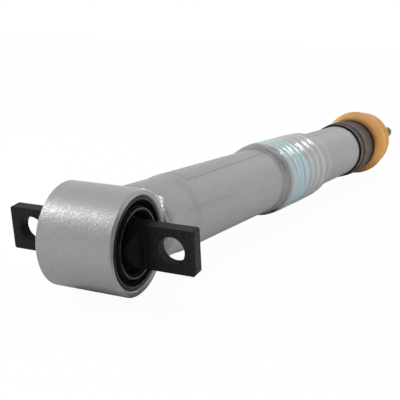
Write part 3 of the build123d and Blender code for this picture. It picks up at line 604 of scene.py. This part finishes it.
def about_eye(stations, radii, turns):
    """Points of a surface turned about Y, the eye's axis: (r sin t, s, r cos t)."""
    stations, radii, turns = np.broadcast_arrays(stations, radii, turns)
    return np.stack([radii * np.sin(turns), stations, radii * np.cos(turns)], -1)


def softened(corners, radii, steps=5):
    """A closed outline with round corners. An arc of radius r at a corner whose sides part by the angle a
    starts r / tan(a / 2) from the corner, and its middle lies on the corner's bisector."""
    corners = np.array(corners, float)
    before, after = np.roll(corners, 1, 0) - corners, np.roll(corners, -1, 0) - corners
    before /= np.linalg.norm(before, axis=1, keepdims=True)
    after /= np.linalg.norm(after, axis=1, keepdims=True)
    half = np.arccos(np.clip((before * after).sum(1), -1, 1)) / 2
    reach = (np.broadcast_to(radii, half.shape) / np.tan(half))[:, None]
    share = np.linspace(0, 1, steps)[None, :, None]
    start, end = (corners + before * reach)[:, None], (corners + after * reach)[:, None]
    middle = corners[:, None]
    arcs = start * (1 - share) ** 2 + middle * 2 * share * (1 - share) + end * share ** 2
    return arcs.reshape(-1, 2)


def waves(turns, stations, rng, count, size):
    """A sum of sines round and along a piece, with seeded turns, lengths and phases."""
    around = rng.integers(1, 9, count)
    along = rng.uniform(-1, 1, count) / WAVE_RUN
    phase = rng.uniform(0, TURN, count)
    high = rng.uniform(0.3, 1.0, count) * size / np.sqrt(count)
    angle = around[:, None, None] * turns + along[:, None, None] * stations + phase[:, None, None]
    return (high[:, None, None] * np.sin(angle)).sum(0)


def film_piece():
    """The film. Its radius follows a rounded line from the tube to the sleeve, earlier on top than below.
    It stands off the sleeve by a cosine between grooves, dips by a bell exp(-(d / w)^2) at each of the
    first ones and rises by such bells in wide folds beyond, rolls up at its front edge and carries seeded
    wrinkles. A second sheet a skin's thickness inside closes it."""
    rng = np.random.default_rng(7)
    station = np.concatenate([np.linspace(FILM_START, FILM_START + FINE_RUN, FINE_ROWS, endpoint=False),
                              np.linspace(FILM_START + FINE_RUN, FILM_END, WIDE_ROWS)])
    turn = np.linspace(0, TURN, FILM_COLUMNS, endpoint=False)
    s, t = station[:, None], turn[None, :]
    skin_lift = FILM_SETTLE + FILM_SKIN
    high = np.cos(t - FILM_HIGH_TURN)
    ahead = FILM_TENT * high * np.clip((SLEEVE_START + TENT_PAST - s) / TENT_RUN, 0, 1)
    blur = np.linspace(-FILM_BEND, FILM_BEND, 9)[:, None, None]
    radius = np.interp(s + ahead + blur, [SLEEVE_START - FILM_BRIDGE, SLEEVE_START + FILM_CORNER],
                       [TUBE_RADIUS + skin_lift, SLEEVE_RADIUS + skin_lift]).mean(0)
    groove = SLEEVE_START + GROOVE_SET + GROOVE_PITCH * np.arange(DRAWN_GROOVES)
    dips = np.exp(-((s - groove) / GROOVE_HALF) ** 2)
    uneven = 0.8 + 0.35 * np.sin(t[..., None] * rng.integers(2, 5, DRAWN_GROOVES)
                                 + rng.uniform(0, TURN, DRAWN_GROOVES))
    drawn = GROOVE_DIP * (dips[:, None, :] * uneven).sum(-1)
    over_grooves = (s > groove[0] - GROOVE_PITCH) & (s < groove[-1])
    crest = 0.5 - 0.5 * np.cos(TURN * (s - groove[0]) / GROOVE_PITCH)
    lower = 0.5 - 0.5 * np.sign(np.sin(np.pi * (s - groove[0]) / GROOVE_PITCH))
    stand = over_grooves * crest * (CREST_RISE - CREST_SAG * lower)
    taut = 1 - TAUT_SHARE * np.clip((np.cos(t - TAUT_TURN) - 0.2) / 0.6, 0, 1)
    crests = np.array(FOLD_CRESTS) * MM
    folds = FOLD_RISE * np.exp(-((s - crests) / FOLD_HALF) ** 2).sum(1, keepdims=True)
    wrinkle = np.abs(waves(t, s, rng, 9, FILM_WRINKLE))
    slack = np.exp(-((s - SLEEVE_START) / SLACK_HALF) ** 2) * waves(t, s, rng, 8, FILM_SLACK)
    slack = slack * (s > FILM_START + SLACK_FROM)
    rolled = np.exp(-((s - FILM_START - CURL_SET) / CURL_HALF) ** 2)
    curl = CURL_RISE * rolled * (0.8 + 0.4 * np.sin(3 * t + 0.6))
    hang = FILM_HANG * (1 - high) * np.clip((s - SLEEVE_START) / HANG_RUN, 0, 1)
    outer = radius + (stand - drawn) * taut + folds + wrinkle + slack + curl + hang
    outer = np.maximum(outer, np.where(s < SLEEVE_START, TUBE_RADIUS, 0) + skin_lift)
    ragged = RAGGED_LONG * np.sin(5 * t + 1) + RAGGED_SHORT * np.sin(11 * t)
    ends = np.exp(-(s - FILM_START) / RAGGED_RUN) - np.exp((s - FILM_END) / RAGGED_RUN)
    along = s + ragged * ends * 0.5
    points = np.concatenate([turned(along, outer, t), turned(along, outer - FILM_SKIN, t)[::-1]])
    faces = faces_of(2 * len(station), len(turn), True, True)
    return make_piece("wrapping_film", points.reshape(-1, 3), faces, film_finish(), "damper",
                      ["protective_film"])


def slab(name, outer, inner, material, body):
    """A closed sheet between two grids of points of one shape, walled along its border."""
    rows, columns = outer.shape[:2]
    number = np.arange(rows * columns).reshape(rows, columns)
    border = np.concatenate([number[0, :-1], number[:-1, -1], number[-1, :0:-1], number[:0:-1, 0]])
    onward = np.roll(border, -1)
    top = faces_of(rows, columns, False, False)
    wall = np.stack([border, onward, onward + rows * columns, border + rows * columns], -1)
    points = np.concatenate([outer.reshape(-1, 3), inner.reshape(-1, 3)])
    faces = np.concatenate([top, top[:, ::-1] + rows * columns, wall])
    return make_piece(name, points, faces, material, body)


def label_piece():
    """The label, left without its print: a patch of the tube's surface, slightly askew, from its near lower
    edge over the top."""
    station = np.linspace(LABEL_START, FILM_START + LABEL_TUCK, 72)[:, None]
    share = np.linspace(0, 1, 64)[None, :]
    along = (station - LABEL_START) / (FILM_START - LABEL_START)
    near = LABEL_NEAR_TURN + (LABEL_NEAR_TURN_END - LABEL_NEAR_TURN) * along
    turn = near - share * LABEL_WRAP
    radius = TUBE_RADIUS + LABEL_LIFT
    piece = slab("clear_label", turned(station, radius + LABEL_SKIN, turn), turned(station, radius, turn),
                 label_finish(), "damper")
    across = share * LABEL_WRAP * TUBE_RADIUS
    flat = np.stack(np.broadcast_arrays((station - LABEL_START) / MM, across / MM), -1).reshape(-1, 2)
    flat = np.concatenate([flat, flat])
    corner = np.zeros(len(piece.data.loops), np.int32)
    piece.data.loops.foreach_get("vertex_index", corner)
    piece.data.uv_layers.new(name="label").data.foreach_set("uv", flat[corner].ravel().astype(np.float32))
    return piece


def weld_piece():
    """The bead round the joint of eye and base. At each turn its face runs from a point on the eye's
    cylinder to a point on the base's round, bulges between them and steps up in overlapping ripples; its
    back lies under both surfaces."""
    turn = np.linspace(0, TURN, 720, endpoint=False)[:, None]
    rng = np.random.default_rng(11)
    side = np.sin(turn) ** 2
    wander = waves(turn.T, np.zeros((1, 1)), rng, 7, WELD_WANDER).T
    eye_radius = WELD_ON_EYE + side * WELD_EYE_SPREAD + wander
    eye_station = np.sqrt(EYE_RADIUS ** 2 - (eye_radius * np.cos(turn)) ** 2) - WELD_SINK
    lump = np.exp(-((turn - LUMP_TURN) / LUMP_HALF) ** 2)
    base_station = WELD_ON_BASE + side * WELD_BASE_SPREAD + wander + lump * LUMP_REACH
    before_tube = np.maximum(BASE_START + BASE_ROUND - base_station, 0)
    rise = np.sqrt(np.maximum(BASE_ROUND ** 2 - before_tube ** 2, 0))
    base_radius = BASE_RADIUS - BASE_ROUND + rise - WELD_SINK
    share = np.linspace(0, 1, 17)[None, :]
    step = (turn * BASE_RADIUS / RIPPLE_PITCH + 0.9 * np.sin(np.pi * share) + 0.15 * np.sin(5 * turn)) % 1
    bulge = np.sin(np.pi * share) * (WELD_HEIGHT + RIPPLE_HEIGHT * step ** 0.6 + lump * LUMP_RISE)
    run, lift = base_station - eye_station, base_radius - eye_radius
    length = np.hypot(run, lift)
    face_station = eye_station + run * share - bulge * lift / length
    face_radius = eye_radius + lift * share + bulge * run / length
    back = np.linspace(1, 0, 7)[None, 1:-1]
    sunk = np.sin(np.pi * back) * WELD_ROOT
    back_station = eye_station + run * back + sunk * lift / length
    back_radius = eye_radius + lift * back - sunk * run / length
    points = turned(np.concatenate([face_station, back_station], 1),
                    np.concatenate([face_radius, back_radius], 1), turn)
    faces = faces_of(*points.shape[:2], True, True)
    return make_piece("weld_bead", points.reshape(-1, 3), faces, weld_paint(), "damper",
                      ["eye_weld"])


def drops(name, places, sizes, flatness, material, body):
    """Many small half-sunk drops: a sphere's points, flattened and moved to each place."""
    tilt = np.linspace(0, np.pi, 7)[:, None]
    spin = np.linspace(0, TURN, 10, endpoint=False)[None, :]
    ball = np.stack(np.broadcast_arrays(np.sin(tilt) * np.cos(spin), np.sin(tilt) * np.sin(spin),
                                        np.cos(tilt)), -1).reshape(-1, 3)
    faces = faces_of(7, 10, False, True)
    points = places[:, None] + ball[None] * (sizes[:, None] * [1, 1, flatness])[:, None]
    offsets = np.arange(len(places))[:, None, None] * len(ball)
    return make_piece(name, points.reshape(-1, 3), (faces[None] + offsets).reshape(-1, 4), material,
                      body, poles=True)


def spatter_piece():
    """Specks that the weld threw on the base's near upper side, thickest beside the bead."""
    rng = np.random.default_rng(5)
    station = SPECK_START + np.minimum(rng.exponential(SPECK_SPREAD, SPECKS), SPECK_REACH)
    turn = rng.uniform(*SPECK_TURNS, SPECKS)
    size = rng.uniform(SPECK_SMALLEST, SPECK_LARGEST, SPECKS) * MM
    return drops("weld_spatter", turned(station, BASE_RADIUS, turn), size, SPECK_FLATNESS, SILVER,
                 "damper")


def rubber_piece(name, measures, node):
    """A bush ring of rubber: a lip at each wall with a moulded hollow between, and small ribs round the
    inner lip."""
    inner, outer, inner_half, outer_half = measures
    third = (outer - inner) / 3
    floor = min(inner_half, outer_half) - RUBBER_HOLLOW
    end = [(inner_half, inner), (inner_half - LIP_SLOPE, inner + third * LIP_SHARE),
           (floor, inner + third), (floor, outer - third),
           (outer_half - LIP_SLOPE, outer - third * LIP_SHARE), (outer_half, outer)]
    outline = softened(end + [(-station, radius) for station, radius in reversed(end)], RUBBER_EDGE)
    turn = np.linspace(0, TURN, 352, endpoint=False)[None, :]
    rng = np.random.default_rng(len(name))
    ribs = np.abs(np.sin(RIBS / 2 * turn)) * (outline[:, 1:] < inner + third) * RIB_HEIGHT
    station = outline[:, :1] * (1 - ribs + 0.006 * waves(turn, outline[:, :1] * 0, rng, 5, 1.0))
    points = about_eye(station, outline[:, 1:], turn).reshape(-1, 3)
    faces = faces_of(len(outline), turn.size, True, True)
    return make_piece(name, points, faces, RUBBER, "damper", [node])


def rod_piece():
    """The piston rod with its thread. From the neck on, the radius falls from the crest by the depth of a
    triangle wave of the station less the pitch times the turn, which makes a helix."""
    shoulder = ROD_END - STEM_LENGTH
    neck = shoulder + STEM_NECK
    plain = [(ROD_START, 0), (ROD_START, PILOT_RADIUS - PILOT_CHAMFER),
             (ROD_START + PILOT_CHAMFER, PILOT_RADIUS), (PILOT_END, PILOT_RADIUS), (PILOT_END, ROD_RADIUS),
             (PLATE_START, ROD_RADIUS), (PLATE_START, ROD_RADIUS - PLATE_GROOVE),
             (PLATE_END, ROD_RADIUS - PLATE_GROOVE), (PLATE_END, ROD_RADIUS),
             (shoulder - SHOULDER_CHAMFER, ROD_RADIUS), (shoulder, ROD_RADIUS - SHOULDER_CHAMFER),
             (shoulder, STEM_RADIUS - STEM_NECK_DEPTH), (neck, STEM_RADIUS - STEM_NECK_DEPTH)]
    threaded = np.linspace(neck, ROD_END - THREAD_END, 260)
    tip = [(ROD_END, TIP_RADIUS), (ROD_END, CENTRE_HOLE), (ROD_END - CENTRE_HOLE_DEPTH, 0)]
    outline = np.array(plain + [(station, STEM_RADIUS) for station in threaded] + tip)
    turn = np.linspace(0, TURN, 96, endpoint=False)[None, :]
    station, radius = outline[:, :1], outline[:, 1:] + 0 * turn
    phase = ((station - neck) / THREAD_PITCH - turn / TURN) % 1
    fade_in = np.clip((station - neck) / THREAD_PITCH, 0, 1)
    on_thread = (station >= neck) & (station < ROD_END - THREAD_END / 2) & (radius > PILOT_RADIUS)
    crest = np.clip(1.25 - np.abs(phase - 0.5) * 2.5, 0, 1)
    point = np.clip((ROD_END - station) / TIP_RUN, 0, 1)
    cut = STEM_RADIUS - THREAD_DEPTH * (1 - crest) * fade_in
    cut = np.minimum(cut, STEM_RADIUS - TIP_DROP * (1 - point))
    radius = np.where(on_thread, cut, radius)
    points = turned(station, radius, turn).reshape(-1, 3)
    faces = faces_of(len(outline), turn.size, False, True)
    return make_piece("rod_and_stem", points, faces, chromed_rod(), "rod", ["piston_rod"],
                      poles=True)


def bump_piece():
    """The foam bump stop. Its radius swells from the foot to the bell, falls to the waist and rises to the
    crown by smooth steps 3u^2 - 2u^3, and closes on the rod in a round tip. A mould seam runs down each
    side. The strut's weight shifts the skin up by a share of cos t, as the foam lies pressed on its
    underside."""
    stations, radii = BUMP_START + BUMP_RUN, BUMP_RADII
    share = np.linspace(0, 1, 60)
    swell = np.sin(share * np.pi / 2)
    ease = share ** 2 * (3 - 2 * share)
    rows_station = [stations[0] + (stations[1] - stations[0]) * share]
    rows_radius = [radii[0] + (radii[1] - radii[0]) * swell]
    for start in (1, 2):
        rows_station.append(stations[start] + (stations[start + 1] - stations[start]) * share[1:])
        rows_radius.append(radii[start] + (radii[start + 1] - radii[start]) * ease[1:])
    rows_station.append(stations[3] + (stations[4] - stations[3]) * swell[1:])
    rows_radius.append(radii[4] + (radii[3] - radii[4]) * np.cos(share[1:] * np.pi / 2))
    station = np.concatenate([[stations[0]], *rows_station, [stations[4]]])
    radius = np.concatenate([[BUMP_BORE], *rows_radius, [BUMP_BORE]])
    turn = np.linspace(0, TURN, 192, endpoint=False)[None, :]
    s, r = station[:, None], radius[:, None]
    rng = np.random.default_rng(3)
    seam = np.exp(-(np.sin(turn) / SEAM_HALF) ** 2) * SEAM_RISE
    soft = waves(turn, s, rng, 6, BUMP_UNEVEN) + BUMP_PRESS * np.cos(turn)
    shaped = r + np.where(r > BUMP_SKIN_FROM, soft + seam - SKIN_DRAW, 0)
    points = turned(s, shaped, turn).reshape(-1, 3)
    faces = faces_of(len(station), turn.size, True, True)
    piece = make_piece("foam_bump_stop", points, faces, foam_finish(), "bump", ["bump_stop"])
    return piece


def dress(nodes, material):
    """Give CAD nodes a finish."""
    for node in nodes:
        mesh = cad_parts[node].data
        mesh.materials.clear()
        mesh.materials.append(material)


def stage_floor():
    """A broad pale floor under the strut that the camera sees as nearly white, with the strut's shadow."""
    floor_height = cad_box[0].z - FLOOR_GAP
    line = np.linspace(-FLOOR_HALF, FLOOR_HALF, 9)
    x, y = np.meshgrid(line, line, indexing="ij")
    points = np.stack([x, y, x * 0 + floor_height], -1).reshape(-1, 3)
    mesh = bpy.data.meshes.new("floor")
    mesh.from_pydata(points.tolist(), [], faces_of(9, 9, False, False).tolist())
    floor = bpy.data.objects.new("floor", mesh)
    bpy.context.scene.collection.objects.link(floor)
    finish = Finish("floor_white")
    seen = finish.node("LightPath", output="Is Camera Ray")
    glow = finish.node("Emission", inputs={"Color": (1, 1, 1, 1), "Strength": 1.0})
    finish.feed(finish.shader, {"Base Color": (0.86, 0.86, 0.86, 1), "Roughness": 0.9})
    lit = Wire(finish, finish.shader.outputs[0])
    both = finish.node("MixShader", inputs={0: seen * FLOOR_GLOW, 1: lit, 2: glow})
    finish.tree.links.new(both.socket, finish.tree.nodes["Material Output"].inputs["Surface"])
    mesh.materials.append(finish.material)


def stage_world():
    """White all round for the camera. For the strut, a pale room that is darker on the camera's side: its
    strength falls as the dot product of a direction with the way to the camera rises."""
    world = bpy.data.worlds.new("room")
    world.use_nodes = True
    bpy.context.scene.world = world
    nodes, links = world.node_tree.nodes, world.node_tree.links
    place = nodes.new("ShaderNodeTexCoord")
    facing = nodes.new("ShaderNodeVectorMath")
    facing.operation = "DOT_PRODUCT"
    facing.inputs[1].default_value = CAMERA_PLACE.normalized()
    links.new(place.outputs["Generated"], facing.inputs[0])
    dusk = nodes.new("ShaderNodeMapRange")
    dusk.interpolation_type = "SMOOTHSTEP"
    dusk.inputs["From Min"].default_value = DUSK_START
    dusk.inputs["From Max"].default_value = DUSK_FULL
    dusk.inputs["To Min"].default_value = ROOM_LIGHT
    dusk.inputs["To Max"].default_value = ROOM_DUSK
    links.new(facing.outputs["Value"], dusk.inputs["Value"])
    path = nodes.new("ShaderNodeLightPath")
    level = nodes.new("ShaderNodeMix")
    links.new(path.outputs["Is Camera Ray"], level.inputs[0])
    links.new(dusk.outputs[0], level.inputs[2])
    level.inputs[3].default_value = 1.0
    links.new(level.outputs[0], nodes["Background"].inputs["Strength"])
    nodes["Background"].inputs["Color"].default_value = (1, 1, 1, 1)


def lamp(name, target, direction, distance, width, height, power, mirrored=True):
    """A soft box that faces a point from that direction. One that isn't mirrored leaves no highlight."""
    light = bpy.data.lights.new(name, "AREA")
    light.shape = "RECTANGLE"
    light.size, light.size_y, light.energy = width, height, power
    holder = bpy.data.objects.new(name, light)
    bpy.context.scene.collection.objects.link(holder)
    aim = Vector(direction).normalized()
    holder.location = Vector(target) + aim * distance
    holder.rotation_euler = aim.to_track_quat("Z", "Y").to_euler()
    holder.visible_glossy = mirrored


def stage_camera():
    """The camera at the photograph's place and angle."""
    lens = bpy.data.cameras.new("camera")
    lens.sensor_width = SENSOR
    lens.lens = FOCAL_PIXELS / FRAME_PIXELS * SENSOR
    lens.clip_start, lens.clip_end = 0.01, 100
    camera = bpy.data.objects.new("camera", lens)
    bpy.context.scene.collection.objects.link(camera)
    back = CAMERA_RIGHT.cross(CAMERA_UP)
    turn = Matrix((CAMERA_RIGHT, CAMERA_UP, back)).transposed().to_4x4()
    camera.matrix_world = Matrix.Translation(CAMERA_PLACE) @ turn
    bpy.context.scene.camera = camera


bpy.context.scene.view_settings.view_transform = "Standard"
stage_floor()
stage_world()
stage_camera()
lamp("overhead", target=(0, 0, 0), direction=(-0.29, 0.79, 0.63), distance=1.3,
     width=0.28, height=0.22, power=8.0)
lamp("back_strip", target=(0.27, 0, 0), direction=(0.888, -0.12, 0.437), distance=1.5,
     width=0.44, height=0.07, power=1.6)
lamp("side_fill", target=(0.45, 0, 0), direction=(0.50, -0.86, 0.07), distance=1.3,
     width=0.80, height=0.16, power=6.4, mirrored=False)

RUBBER = moulded_rubber()
SILVER = silver_paint("silver_paint", colour(152, 152, 152), sparkle=0.08, metal=0.25, rough=0.55,
                      underside_shade=TUBE_UNDERSIDE_SHADE)
EYE_SILVER = silver_paint("eye_silver", colour(155, 155, 154), sparkle=0.1, metal=0.6, rough=0.34,
                          underside_shade=EYE_UNDERSIDE_SHADE)
OUTER_RING = ring_steel("outer_ring_steel", colour(40, 36, 33), colour(62, 54, 47), ticks=150,
                        rim=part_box("bush_outer_ring")[1].z / MM)
INNER_RING = ring_steel("inner_ring_steel", colour(50, 45, 40), colour(76, 68, 60), ticks=60,
                        rim=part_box("bush_inner_ring")[1].z / MM + CLEAN_RIM)
ALUMINIUM = turned_metal("turned_aluminium", colour(170, 171, 173), colour(205, 206, 208))
BRONZE = turned_metal("lined_bronze", colour(128, 96, 52), colour(170, 134, 80))
SPRING_STEEL = turned_metal("spring_steel", colour(70, 74, 84), colour(104, 108, 118))
MACHINED_STEEL = turned_metal("machined_steel", colour(120, 121, 123), colour(160, 161, 163))
SLIP_BAND = turned_metal("slip_band", colour(150, 140, 112), colour(178, 168, 140), 0.0, 0.5)

dress(["lower_eye"], EYE_SILVER)
dress(["base_cap", "damper_tube", "spring_seat_sleeve"], SILVER)
dress(["end_cap"], cap_finish())
dress(["bar_pin"], forged_black())
dress(["bush_outer_ring"], OUTER_RING)
dress(["bush_inner_ring"], INNER_RING)
dress(["rod_seal", "rod_wiper", "guide_o_ring", "rebound_buffer", "floating_piston_o_ring"], RUBBER)
dress(["rod_guide", "floating_piston"], ALUMINIUM)
dress(["guide_bush"], BRONZE)
dress(["guide_stop_ring", "guide_retaining_ring", "compression_shims", "rebound_shims"], SPRING_STEEL)
dress(["piston", "backing_washers", "piston_nut", "rebound_plate"], MACHINED_STEEL)
dress(["piston_band"], SLIP_BAND)

film_piece()
label_piece()
weld_piece()
spatter_piece()
rubber_piece("outer_bush_rubber", OUTER_RUBBER, "bush_outer_rubber")
rubber_piece("inner_bush_rubber", INNER_RUBBER, "bush_inner_rubber")
rod_piece()
bump_piece()
